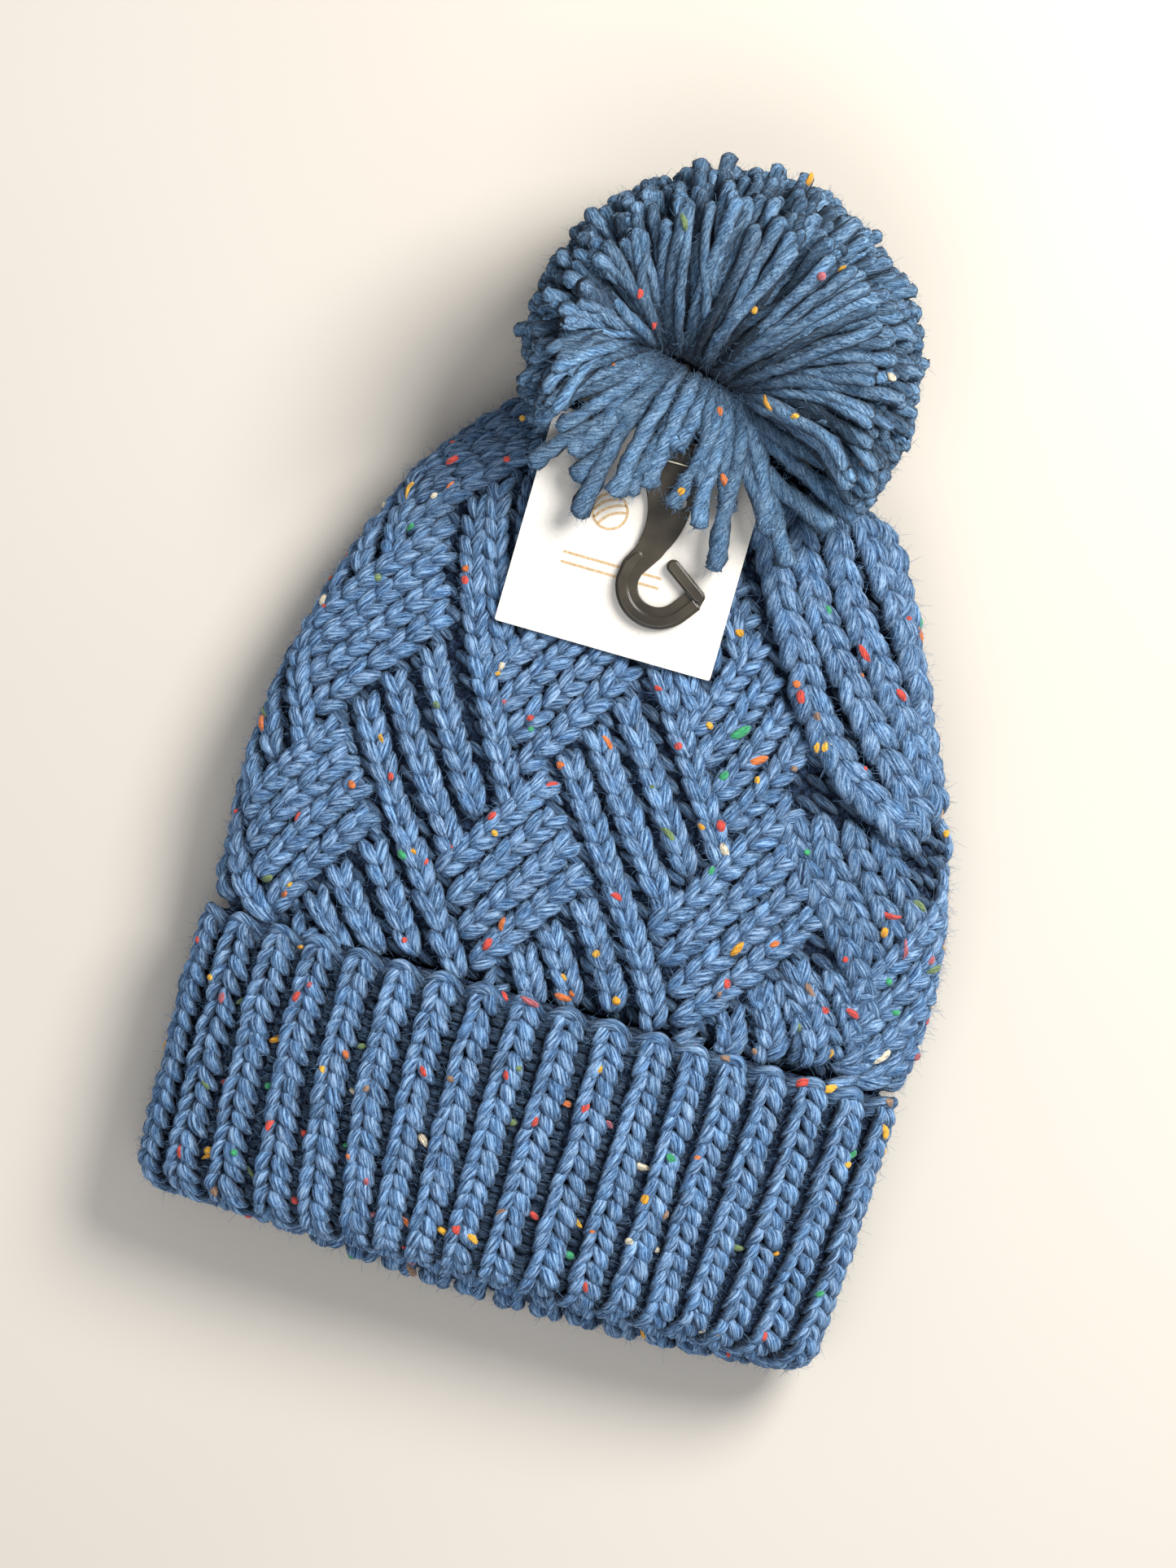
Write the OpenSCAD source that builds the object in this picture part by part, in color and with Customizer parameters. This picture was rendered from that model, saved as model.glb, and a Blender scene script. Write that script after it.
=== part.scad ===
// Chunky knitted pom-pom beanie with its hang tag, lying flat on its back.
// X runs across the hat, +Y from the cuff to the pom-pom, +Z up from the table.
// Places along the hat are measured from the cuff's fold (y = 0), and the whole
// model is moved at the end, so that its origin is the bottom centre of its box.

/* [Hat] */
// Width of the lying hat, from side to side
hat_w = 219.5; // [205:0.5:235]
// Thickness of the lying hat at the middle of its body
body_h = 44.5; // [43:0.5:46]
// Distance from the cuff's fold to the gathered end of the crown
crown_l = 270; // [260:1:280]
// Thickness of the knitted fabric
fabric_t = 8; // [7:0.5:8.5]

/* [Cuff] */
// Depth of the turned-up cuff
cuff_l = 84; // [76:1:90]
// Thickness of the lying hat at its cuff
cuff_h = 48.5; // [47:0.5:54]
// How far the back of the fold lies below its front
back_drop = 7; // [0:0.5:9]
// Gap between two layers of fabric
layer_gap = 0.5; // [0.4:0.1:0.8]

/* [Pom-pom] */
// Width of the pom-pom
pom_w = 115; // [105:1:120]
// Height of the pom-pom above the table
pom_h = 88; // [84:1:92]
// Distance from the tie to the pom-pom's far side
pom_l = 69; // [64:1:74]
// Height of the pom-pom's tie above the table
tie_z = 44; // [42:0.5:46]
// Radius of the tie's ring round the strands
tie_r = 7.5; // [6.5:0.5:8]
// Thickness of the tie's cord
tie_cord_d = 3.2; // [2.4:0.2:3.6]

/* [Crown anchor] */
// Radius of the small hole left by the gathered crown
crown_hole_r = 6; // [5.5:0.5:7]
// Diameter of the yarn that gathers the crown
gather_d = 2.4; // [1.6:0.2:2.6]
// Diameter of the anchor cord that holds the pom-pom
anchor_d = 4; // [3:0.2:4.4]
// Radius of the anchor's knot inside the crown
knot_r = 5; // [4.5:0.1:5.2]

/* [Hang tag] */
// Side of the square card
card_w = 66; // [60:1:70]
// Thickness of the card
card_t = 0.5; // [0.3:0.1:0.6]
// Radius of the card's corners
card_corner_r = 0.8; // [0.5:0.1:3]
// Height of the card's underside above the table
card_z = 44.9; // [44.9:0.1:45.2]

/* [Hook] */
// Middle radius of the hook's round bend
bend_r = 9.55; // [9:0.05:10]
// Width of the hook's band
band_w = 6.6; // [6:0.1:7]
// Thickness of the hook's flat plate
hook_plate_t = 2; // [1.6:0.1:2.2]
// Height of the raised rims above the plate
hook_rim_t = 1.4; // [1:0.1:1.6]
// Diameter of the hole in the hook's neck
eye_d = 4; // [3:0.5:5]

/* [Staple] */
// Width of the staple's crown
staple_w = 12; // [11:0.5:13]
// Diameter of the staple's wire
wire_d = 0.7; // [0.5:0.1:0.8]

/* [Hidden] */

// Points round each soft section, and facets of the round pieces
SIDES = 44;
$fn = 64;
knit_blue = [0.29, 0.42, 0.60];
deep_blue = [0.16, 0.24, 0.38];

half_w = hat_w / 2;
mid_y = (crown_l + 2 + pom_l - back_drop) / 2;
// The crown's hole and the swing axis of the pom-pom lie on one line
axis_x = -6;
axis_y = crown_l + 2;
hole_z = 24;
hole_depth = 7.5;

// Each row of a soft shape is [y, left, right, bottom, top].
// The body swells over the cuff's edge, then narrows to its blunt gathered end.
function body_rows() = [
    [cuff_l + 0.6, -0.915 * half_w, 0.905 * half_w, fabric_t + 0.4, 0.88 * body_h],
    [cuff_l + 8, -0.965 * half_w, 0.975 * half_w, 2, 0.935 * body_h],
    [cuff_l + 16, -0.985 * half_w, half_w, 0, 0.965 * body_h],
    [crown_l - 150, -half_w, half_w, 0, 0.99 * body_h],
    [crown_l - 133, -half_w, 0.985 * half_w, 0, body_h],
    [crown_l - 107, -0.977 * half_w, 0.933 * half_w, 0, body_h],
    [crown_l - 80, -0.909 * half_w, 0.802 * half_w, 0, 0.99 * body_h],
    [crown_l - 60, -0.843 * half_w, 0.715 * half_w, 0, 0.967 * body_h],
    [crown_l - 43, -0.781 * half_w, 0.647 * half_w, 0, 0.933 * body_h],
    [crown_l - 24, -0.647 * half_w, 0.547 * half_w, 0, 0.888 * body_h],
    [crown_l - 16, -0.579 * half_w, 0.492 * half_w, 1.5, 0.854 * body_h],
    [crown_l - 8, -0.437 * half_w, 0.346 * half_w, 6, 0.775 * body_h],
    [crown_l - 3, -0.282 * half_w, 0.191 * half_w, 12, 0.708 * body_h]
];
// The hollow inside the body follows the outside, one fabric thickness in.
function inner_rows() = [
    for (i = [0:9]) let (r = body_rows()[i]) [
        r[0], r[1] + fabric_t, r[2] - fabric_t,
        r[3] + (i == 0 ? fabric_t : i == 1 ? fabric_t + 2 : fabric_t + 1), r[4] - fabric_t
    ],
    [crown_l - 16, -0.456 * half_w, 0.383 * half_w, 10, 30],
    [crown_l - 11, -0.31 * half_w, 0.237 * half_w, 14, 30]
];
function hole_row(y) = [y, axis_x - crown_hole_r, axis_x + crown_hole_r,
    hole_z - crown_hole_r, hole_z + crown_hole_r];

// Outside of the turned-up cuff
CUFF_ROWS = [
    [0, -0.957 * half_w, 0.943 * half_w, 0, 0.887 * cuff_h],
    [8, -0.979 * half_w, 0.961 * half_w, 0, 0.95 * cuff_h],
    [40, -0.993 * half_w, 0.975 * half_w, 0, cuff_h],
    [cuff_l, -half_w, 0.986 * half_w, 0, 0.98 * cuff_h]
];

// Tuft of upper strands: a dome that starts as a cone beyond its tie.
// Its rows are [distance from the tie, half width, bottom, top].
TUFT_ROWS = [
    [7.5, 7, tie_z - 7, tie_z + 7],
    [9.5, 21, tie_z - 20, tie_z + 20],
    [12, 0.63 * pom_w / 2, 12, 0.84 * pom_h],
    [15, 0.81 * pom_w / 2, 4, 0.91 * pom_h],
    [20, 0.94 * pom_w / 2, 0, 0.975 * pom_h],
    [27, 0.99 * pom_w / 2, 0, pom_h],
    [35, pom_w / 2, 0, pom_h],
    [44, 0.94 * pom_w / 2, 0, 0.965 * pom_h],
    [0.77 * pom_l, 0.8 * pom_w / 2, 2, 0.885 * pom_h],
    [0.885 * pom_l, 0.57 * pom_w / 2, 10, 0.76 * pom_h],
    [0.97 * pom_l, 0.29 * pom_w / 2, 24, 0.61 * pom_h],
    [pom_l, 0.11 * pom_w / 2, 34, 0.51 * pom_h]
];
function tuft_rows() = [for (r = TUFT_ROWS)
    [axis_y + r[0], axis_x + 2 - r[1], axis_x + 2 + r[1], r[2], r[3]]];

// Loose lower strands, a shallow cushion over the tag.
// The rows are [distance below the tie, left, right, bottom, top].
lower_z = card_z + 5.6;
LOWER_ROWS = [
    [6, -22, 12, 0.5, 4.5], [10, -34, 30, 0, 5.5], [15, -45, 40, 0, 7.5],
    [20, -50, 44, 0, 8.5], [26, -52, 46, 0, 9.5], [34, -46, 42, 0, 8.5],
    [41, -34, 34, 0.1, 6.5], [46, -4, 20, 1.5, 3.5]
];
function lower_rows() = [for (i = [len(LOWER_ROWS) - 1:-1:0]) let (r = LOWER_ROWS[i])
    [axis_y - r[0], r[1], r[2], lower_z + r[3], lower_z + r[4]]];

// Card, hook and staple
card_x = -15.2;
card_y = crown_l - 80 + card_w / 2;
hook_z = card_z + card_t + 0.4;
staple_x = -8;
staple_y = crown_l - 21;
staple_z = hook_z + hook_plate_t + 0.35 + wire_d / 2;

// --- Soft shapes ---------------------------------------------------------

// Point of a flattened oval: wide sections are squarer, and rest flat below
function oval_point(row, turn) =
    let (
        half_x = (row[2] - row[1]) / 2,
        half_z = (row[4] - row[3]) / 2,
        flatness = max(0, min(1, (half_x / half_z - 1) / 3)),
        power = 2 + flatness,
        c = cos(turn),
        rise = half_z * pow(max(0, 1 - pow(abs(c), power)), 1 / power),
        mid_z = (row[3] + row[4]) / 2
    )
    [
        (row[1] + row[2]) / 2 + half_x * c,
        row[0],
        turn < 180 ? mid_z + rise : max(row[3], mid_z - (1 + 0.15 * flatness) * rise)
    ];

// Row of the cuff at one place along it, set in from the outside
function cuff_row(y, inset) =
    let (col = function (i) lookup(y, [for (r = CUFF_ROWS) [r[0], r[i]]]))
    [y, col(1) + inset, col(2) - inset, col(3) + inset, col(4) - inset];

// The back of the fold lies lower than its front, most to the right of the middle
function dropped(p) =
    let (
        side = max(0, min(1, (cuff_h / 2 - p[2]) / (cuff_h / 2 - fabric_t))),
        across = max(0, cos(90 * (p[0] - 15) / (half_w - 5))),
        fade = max(0, 1 - max(0, p[1]) / cuff_l)
    )
    [p[0], p[1] - back_drop * side * across * fade, p[2]];

function ring(row) = [for (j = [0:SIDES - 1]) oval_point(row, 360 * j / SIDES)];

function band_faces(a, b) = [for (j = [0:SIDES - 1]) let (k = (j + 1) % SIDES)
    each [[a + j, b + j, b + k], [a + j, b + k, a + k]]];

// Closed tube: its rings go up the outside and come back down the inside
module looped(rings) {
    count = len(rings);
    polyhedron(
        points = [for (r = rings) each r],
        faces = [for (i = [0:count - 1])
            each band_faces(i * SIDES, ((i + 1) % count) * SIDES)],
        convexity = 6
    );
}

// Closed blob through a stack of rings
module stacked(rings) {
    last = (len(rings) - 1) * SIDES;
    polyhedron(
        points = [for (r = rings) each r],
        faces = concat(
            [for (i = [0:len(rings) - 2]) each band_faces(i * SIDES, (i + 1) * SIDES)],
            [[for (j = [0:SIDES - 1]) j]],
            [[for (j = [SIDES - 1:-1:0]) last + j]]
        ),
        convexity = 4
    );
}

// --- Knitted hat ---------------------------------------------------------

// Body of the hat, closed by gathering at the crown
module crown_shell() {
    outside = [for (r = body_rows()) ring(r)];
    inside = [for (r = inner_rows()) ring(r)];
    color(knit_blue)
    looped(concat(
        outside,
        [ring(hole_row(crown_l)), ring(hole_row(crown_l - hole_depth))],
        [for (i = [len(inside) - 1:-1:0]) inside[i]]
    ));
}

// Ribbed band that grips the head, inside the cuff
module inner_rib_band() {
    near = 10.5;
    stops = [near, 32, 58, cuff_l];
    skin = fabric_t + layer_gap;
    lining = 2 * fabric_t;
    path = concat(
        [for (y = stops) [y, skin]],
        [for (i = [3:-1:0]) [stops[i], lining]]
    );
    color(knit_blue)
    looped([for (p = path) [for (q = ring(cuff_row(p[0], p[1]))) dropped(q)]]);
}

// Rib turned up outside, with the round fold below the band's edge
module turned_up_cuff() {
    fold_r = fabric_t;
    path = concat(
        [for (y = [fold_r, 32, 58, cuff_l - 3]) [y, 0]],
        [[cuff_l - 0.9, 0.9], [cuff_l, 3], [cuff_l, fabric_t - 2],
            [cuff_l - 1.5, fabric_t]],
        [for (y = [58, 32, 10]) [y, fabric_t]],
        [[10, 2 * fabric_t]],
        [for (a = [0:30:150]) [fold_r * (1 - sin(a)), fold_r * (1 + cos(a))]]
    );
    color(knit_blue)
    looped([for (p = path) [for (q = ring(cuff_row(p[0], p[1]))) dropped(q)]]);
}

// --- Crown anchor and pom-pom --------------------------------------------

module torus(ring_r, tube_r) {
    rotate_extrude() translate([ring_r, 0]) circle(r = tube_r);
}

// Yarn drawn through the last stitches, which holds the crown shut
module crown_gathering_yarn() {
    tube_r = gather_d / 2;
    color(deep_blue)
    translate([axis_x, crown_l - hole_depth / 2, hole_z]) rotate([90, 0, 0])
        torus(crown_hole_r - 0.3 - tube_r, tube_r);
}

// Cord from the knot, out through the hole and up to the pom-pom's tie
module pom_anchor_cord() {
    cord_r = anchor_d / 2;
    run = axis_y - (crown_l - 15 + knot_r + 0.1);
    riser = tie_z - tie_r - tie_cord_d / 2 - 0.4 - hole_z;
    color(deep_blue)
    translate([axis_x, axis_y, hole_z]) {
        rotate([90, 0, 0]) cylinder(h = run, r = cord_r);
        sphere(r = cord_r);
        cylinder(h = riser, r = cord_r);
    }
}

// Knot inside the crown, too big for the hole
module anchor_knot() {
    wrap_r = 1.5;
    color(deep_blue)
    translate([axis_x, crown_l - 15, hole_z]) {
        sphere(r = knot_r - 0.6);
        for (tilt = [-35, 35]) rotate([90 + tilt, 0, 0])
            torus(knot_r - wrap_r, wrap_r);
    }
}

// Cord wound round the middle of the strands
module pom_tie() {
    color(deep_blue)
    translate([axis_x, axis_y, tie_z]) rotate([90, 0, 0])
        torus(tie_r, tie_cord_d / 2);
}

module pom_lower_strands() {
    color(knit_blue) stacked([for (r = lower_rows()) ring(r)]);
}

module pom_tuft() {
    color(knit_blue) stacked([for (r = tuft_rows()) ring(r)]);
}

// --- Hang tag ------------------------------------------------------------

module tag_card() {
    reach = card_w / 2 - card_corner_r;
    slit_w = wire_d + 0.7;
    color("white")
    translate([0, 0, card_z])
    difference() {
        translate([card_x, card_y, 0]) linear_extrude(card_t) union() {
            square([card_w, 2 * reach], center = true);
            square([2 * reach, card_w], center = true);
            for (i = [-1, 1], j = [-1, 1]) translate([i * reach, j * reach])
                circle(r = card_corner_r);
        }
        for (side = [-1, 1]) translate([staple_x + side * (staple_w - wire_d) / 2,
                staple_y, card_t / 2])
            cube([slit_w, slit_w, 3 * card_t], center = true);
    }
}

// Wire staple: a crown over the hook's neck and two legs clinched under the card
module tag_staple() {
    r = wire_d / 2;
    reach = (staple_w - wire_d) / 2;
    drop = staple_z - (card_z - 0.5);
    color("silver")
    translate([staple_x, staple_y, staple_z]) {
        translate([-reach, 0, 0]) rotate([0, 90, 0]) cylinder(h = 2 * reach, r = r, $fn = 24);
        for (side = [-1, 1]) translate([side * reach, 0, 0]) {
            sphere(r = r, $fn = 24);
            translate([0, 0, -drop]) {
                cylinder(h = drop, r = r, $fn = 24);
                sphere(r = r, $fn = 24);
                rotate([0, -side * 90, 0]) cylinder(h = 3.6, r = r, $fn = 24);
            }
        }
    }
}

// The hook is drawn round the centre of its bend
bend_x = -4.3;
bend_y = crown_l - 57.2;
neck_turn_r = 30;
neck_hollow_r = 21.5;
// Direction and length of the straight run after the bend
run_turn = 53;
run_l = 5.5;
// Middle line of the prong, from its corner to its tip
prong_from = [12, 0.1];
prong_turn = 145;
prong_l = 11.5;
prong_w = 4.1;
// Straight edges stay this far inside the curves that they run into
hair = 0.02;

// Lower part of a ring, up to where the straight run leaves it
module bend_ring(inner, outer) {
    far = 3 * bend_r;
    intersection() {
        difference() {
            circle(r = outer);
            circle(r = inner);
        }
        polygon([[0, 0], [-far, 0], [-far, -far], [far, -far],
            far * [cos(run_turn - 90), sin(run_turn - 90)]]);
    }
}

// Straight run after the bend, a hair narrower than the ring that it starts in
module bend_run(inner, outer) {
    lap = 0.6;
    rotate(run_turn) translate([-lap, -outer + hair])
        square([run_l + lap, outer - inner - 2 * hair]);
}

// Neck, with a bulging right edge, a hollow left edge and a shoulder
module neck() {
    intersection() {
        translate([-27, 24.7]) circle(r = neck_turn_r, $fn = 180);
        difference() {
            polygon([[-11.4, 11], [3, 11], [3, 38.2], [-6.6, 38.2], [-8.3, 34.7],
                [-11.4, 28.2]]);
            translate([-30.3, 15.9]) circle(r = neck_hollow_r, $fn = 180);
        }
    }
    // Root that runs into the bend
    polygon([[-12.8, -0.8], [-6.3, -0.8], [-5.8, 1.8], [-1.6, 8.2], [-0.4, 11.1],
        [-0.6, 12], [-8, 13], [-9.8, 9.2], [-12.3, 4.4]]);
    // Narrow end that the staple straddles
    translate([-6.6, 36]) square([5.4, 6.2]);
}

// Prong that points back across the hook's mouth
module prong(trim) {
    r = prong_w / 2 - trim;
    translate(prong_from) rotate(prong_turn) {
        translate([0, -r + hair]) square([prong_l, 2 * (r - hair)]);
        circle(r = r);
        translate([prong_l, 0]) circle(r = r);
    }
}

module tag_hook() {
    inner = bend_r - band_w / 2;
    outer = bend_r + band_w / 2;
    rim_in = bend_r - 0.3;
    rim_out = outer - 0.6;
    color([0.13, 0.11, 0.09])
    translate([bend_x, bend_y, hook_z]) {
        linear_extrude(hook_plate_t) difference() {
            union() {
                neck();
                bend_ring(inner, outer);
                bend_run(inner, outer);
                // Corner between the run and the prong
                polygon([[7.5, -2.8], [13.2, -3.7], [14, 0], [12, 2], [8.1, 0.3]]);
                prong(0);
            }
            translate([-0.6, 25]) circle(d = eye_d);
        }
        translate([0, 0, hook_plate_t]) linear_extrude(hook_rim_t) {
            bend_ring(rim_in, rim_out);
            bend_run(rim_in, rim_out);
            polygon([[-rim_out + 0.1, -0.5], [-rim_in - 0.1, -0.5], [-7.4, 6.6], [-9.3, 7.2],
                [-11.6, 4.2]]);
            translate([-8.4, 6.9]) circle(r = 1);
            prong(0.5);
        }
    }
}

// --- Whole object, moved to its origin -----------------------------------

module placed() {
    translate([0, -mid_y, 0]) children();
}

placed() crown_shell();
placed() inner_rib_band();
placed() turned_up_cuff();
placed() crown_gathering_yarn();
placed() pom_anchor_cord();
placed() anchor_knot();
placed() pom_tie();
placed() pom_lower_strands();
placed() pom_tuft();
placed() tag_card();
placed() tag_staple();
placed() tag_hook();
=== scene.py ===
import math

import bpy
import numpy as np
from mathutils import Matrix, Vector


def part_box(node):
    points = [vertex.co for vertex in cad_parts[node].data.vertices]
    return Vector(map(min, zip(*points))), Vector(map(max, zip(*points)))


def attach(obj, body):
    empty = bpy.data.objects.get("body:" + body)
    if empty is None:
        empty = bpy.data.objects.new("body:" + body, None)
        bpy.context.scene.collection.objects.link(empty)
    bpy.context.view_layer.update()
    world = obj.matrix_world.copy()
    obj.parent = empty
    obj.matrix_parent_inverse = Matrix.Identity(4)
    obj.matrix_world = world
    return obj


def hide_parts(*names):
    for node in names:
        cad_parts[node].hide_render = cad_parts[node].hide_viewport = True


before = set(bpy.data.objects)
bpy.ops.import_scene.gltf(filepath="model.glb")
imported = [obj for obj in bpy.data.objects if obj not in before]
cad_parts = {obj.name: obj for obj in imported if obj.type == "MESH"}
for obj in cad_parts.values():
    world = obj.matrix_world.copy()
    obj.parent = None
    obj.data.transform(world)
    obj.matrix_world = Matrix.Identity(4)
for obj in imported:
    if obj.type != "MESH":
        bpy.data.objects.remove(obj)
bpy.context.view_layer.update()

MM = 0.001
rng = np.random.default_rng(20)


def mm_box(node):
    low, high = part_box(node)
    return np.array(low) / MM, np.array(high) / MM


# Places are worked out in millimetres, with y measured from the cuff's fold
CARD_LOW, CARD_HIGH = mm_box("tag_card")
CUFF_LOW, CUFF_HIGH = mm_box("turned_up_cuff")
# The card's lower edge lies this far above the fold
CARD_FOOT = 190
FOLD_Y = CARD_LOW[1] - CARD_FOOT
HALF_W = (CUFF_HIGH[0] - CUFF_LOW[0]) / 2
BODY_H = mm_box("crown_shell")[1][2]
CUFF_H = CUFF_HIGH[2]
CUFF_L = 84
WALL = 8
# How far the cuff's back hangs below its front
BACK_DROP = 7
# Middle of the pom-pom's tie
TIE = np.array([-6, 272, 44.0])


# --- Meshes -----------------------------------------------------------------

def make_mesh(name, points, faces, data=()):
    """Mesh from points in millimetres and a list of face arrays, with named vectors."""
    mesh = bpy.data.meshes.new(name)
    points = np.asarray(points, float).reshape(-1, 3) + [0, FOLD_Y, 0]
    mesh.vertices.add(len(points))
    mesh.vertices.foreach_set("co", (points * MM).astype(np.float32).ravel())
    corners = np.concatenate([f.ravel() for f in faces])
    sizes = np.concatenate([np.full(len(f), f.shape[1]) for f in faces])
    mesh.loops.add(len(corners))
    mesh.loops.foreach_set("vertex_index", corners.astype(np.int32))
    mesh.polygons.add(len(sizes))
    starts = np.concatenate([[0], np.cumsum(sizes)[:-1]])
    mesh.polygons.foreach_set("loop_start", starts.astype(np.int32))
    mesh.update(calc_edges=True)
    mesh.polygons.foreach_set("use_smooth", np.ones(len(sizes), bool))
    for key, values in data:
        layer = mesh.attributes.new(key, "FLOAT_VECTOR", "POINT")
        layer.data.foreach_set("vector", np.asarray(values, np.float32).ravel())
    mesh.validate()
    piece = bpy.data.objects.new(name, mesh)
    bpy.context.scene.collection.objects.link(piece)
    return piece


def finish_piece(piece, material, body, slot, *nodes):
    piece.data.materials.clear()
    piece.data.materials.append(material)
    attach(piece, body)
    if nodes:
        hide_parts(*nodes)
    return piece


def unit(v):
    return v / np.maximum(np.linalg.norm(v, axis=-1, keepdims=True), 1e-9)


def rested(points):
    """Presses what would reach below the floor flat against it."""
    points = np.array(points, float)
    points[..., 2] = np.where(points[..., 2] < 4, 4 * (points[..., 2] + 6) / 10, points[..., 2])
    return points


class Yarns:
    """Collects swept yarns and turns them into pieces."""

    def __init__(self):
        self.points, self.lay, self.tone, self.quads, self.caps = [], [], [], [], []
        self.strands = []
        self.count = 0

    def add(self, path, up, wide, tall, sides=10, twist=0.16, tone=1.0, depth=None,
            lump=0.06, edge=0.0, rim=0.72, ragged=0.0):
        """path and up are (yarns, steps, 3); wide and tall are half widths.

        The shade depth, from 0 deep in a gap to 1, is painted shade; edge paints shade on the
        yarn's flanks. tone scales the colour: at random, and as painted shade where a caller
        darkens a region."""
        n, m, _ = path.shape
        along = np.gradient(path, axis=1)
        step = np.linalg.norm(along, axis=2)
        along = unit(along)
        side = unit(np.cross(along, up))
        up = unit(np.cross(side, along))
        self.strands.append((path, along, side, up, wide, tall))
        length = np.cumsum(step, axis=1)
        angle = np.linspace(0, 2 * np.pi, sides, endpoint=False)
        phase = rng.uniform(0, 6.28, (n, 1, 1))
        turned = angle + phase + twist * length[..., None]
        swell = 1 + lump * np.sin(2 * turned) + lump * rng.normal(0, 0.6, (n, m, sides))
        frayed = ragged * np.linspace(0, 1, m)[None, :, None] ** 5
        swell = np.maximum(0.3, swell + frayed * rng.normal(0, 1, (n, m, sides)))
        w = (wide[..., None] * swell)[..., None]
        t = (tall[..., None] * swell)[..., None]
        ring = (path[:, :, None] + side[:, :, None] * np.cos(angle)[:, None] * w
                + up[:, :, None] * np.sin(angle)[:, None] * t)
        radius = np.sqrt(wide * tall)[..., None]
        offset = rng.uniform(0, 500, (n, 1, 1))
        lay = np.stack([
            np.broadcast_to(length[..., None] + offset, turned.shape),
            radius * np.cos(turned), radius * np.sin(turned)], axis=-1)
        if depth is None:
            depth = np.ones((n, m))
        tone = np.broadcast_to(np.asarray(tone, float).reshape(-1, 1, 1), (n, m, sides))
        # Painted shade: the yarn's lower sides are darkened, and the shade depth darkens it in
        # gaps
        flank = 1 - edge * np.clip(rim - np.sin(angle), 0, 1)
        tones = np.stack([
            tone * rng.normal(1, 0.07, (n, 1, 1)),
            np.clip(depth[..., None] * flank, 0, 1),
            np.broadcast_to(rng.uniform(0, 1, (n, 1, 1)), (n, m, sides))], axis=-1)
        base = self.count + np.arange(n)[:, None, None] * (m * sides)
        row = np.arange(m - 1)[None, :, None] * sides
        col = np.arange(sides)[None, None, :]
        nxt = (col + 1) % sides
        quads = np.stack([base + row + col, base + row + nxt,
                          base + row + sides + nxt, base + row + sides + col], axis=-1)
        self.quads.append(quads.reshape(-1, 4))
        first = base[:, 0, :] + np.arange(sides)[::-1][None]
        last = base[:, 0, :] + (m - 1) * sides + np.arange(sides)[None]
        self.caps.append(np.concatenate([first, last]))
        self.points.append(ring.reshape(-1, 3))
        self.lay.append(lay.reshape(-1, 3))
        self.tone.append(tones.reshape(-1, 3))
        self.count += n * m * sides

    def piece(self, name, material, body, slot, *nodes):
        caps = {}
        for c in self.caps:
            caps.setdefault(c.shape[1], []).append(c)
        faces = [np.concatenate(self.quads)] + [np.concatenate(c) for c in caps.values()]
        points = np.concatenate(self.points)
        piece = make_mesh(name, rested(points) if body == "hat" else points, faces,
                          [("lay", np.concatenate(self.lay)),
                           ("tone", np.concatenate(self.tone))])
        return finish_piece(piece, material, body, slot, *nodes)


def pick_spots(yarns, number, margin=1):
    """Random places on yarns: point, direction, side, up and half widths of each."""
    lengths = np.array([p.shape[0] * p.shape[1] for p, *_ in yarns.strands], float)
    groups = rng.choice(len(lengths), number, p=lengths / lengths.sum())
    found = []
    for g in groups:
        path, along, side, up, wide, tall = yarns.strands[g]
        i, j = rng.integers(path.shape[0]), rng.integers(margin, path.shape[1] - margin)
        found.append(np.concatenate([path[i, j], along[i, j], side[i, j], up[i, j],
                                     [wide[i, j], tall[i, j]]]))
    found = np.array(found)
    return [found[:, :3], found[:, 3:6], found[:, 6:9], found[:, 9:12], found[:, 12:13],
            found[:, 13:14]]


HAIR_R = 0.06


def fuzz(yarns, number, length):
    """Fine stray fibres that stand off the yarns, to 80 degrees round each side."""
    point, along, side, up, wide, tall = pick_spots(yarns, number)
    turn = np.radians(rng.uniform(-80, 80, (number, 1)))
    out = unit(side * np.sin(turn) + up * np.cos(turn))
    root = point + side * np.sin(turn) * wide * 0.9 + up * np.cos(turn) * tall * 0.9
    heading = unit(along * rng.normal(0, 0.9, (number, 1)) + out * rng.uniform(
        0.25, 0.9, (number, 1)) + 0.3 * rng.normal(0, 1, (number, 3)))
    bend = unit(rng.normal(0, 1, (number, 3)) - 0.4 * out)
    t = np.linspace(0, 1, 4)[None, :, None]
    reach = (length * rng.uniform(0.45, 1.5, number))[:, None, None]
    path = root[:, None] + reach * (t * heading[:, None] + 0.45 * t ** 2 * bend[:, None])
    guide = np.broadcast_to(unit(np.cross(heading, bend))[:, None], path.shape)
    thick = HAIR_R * np.linspace(1, 0.45, 4)[None, :] * np.ones((number, 1))
    hairs = Yarns()
    hairs.add(path, guide, thick, thick, sides=3, lump=0)
    return hairs


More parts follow.
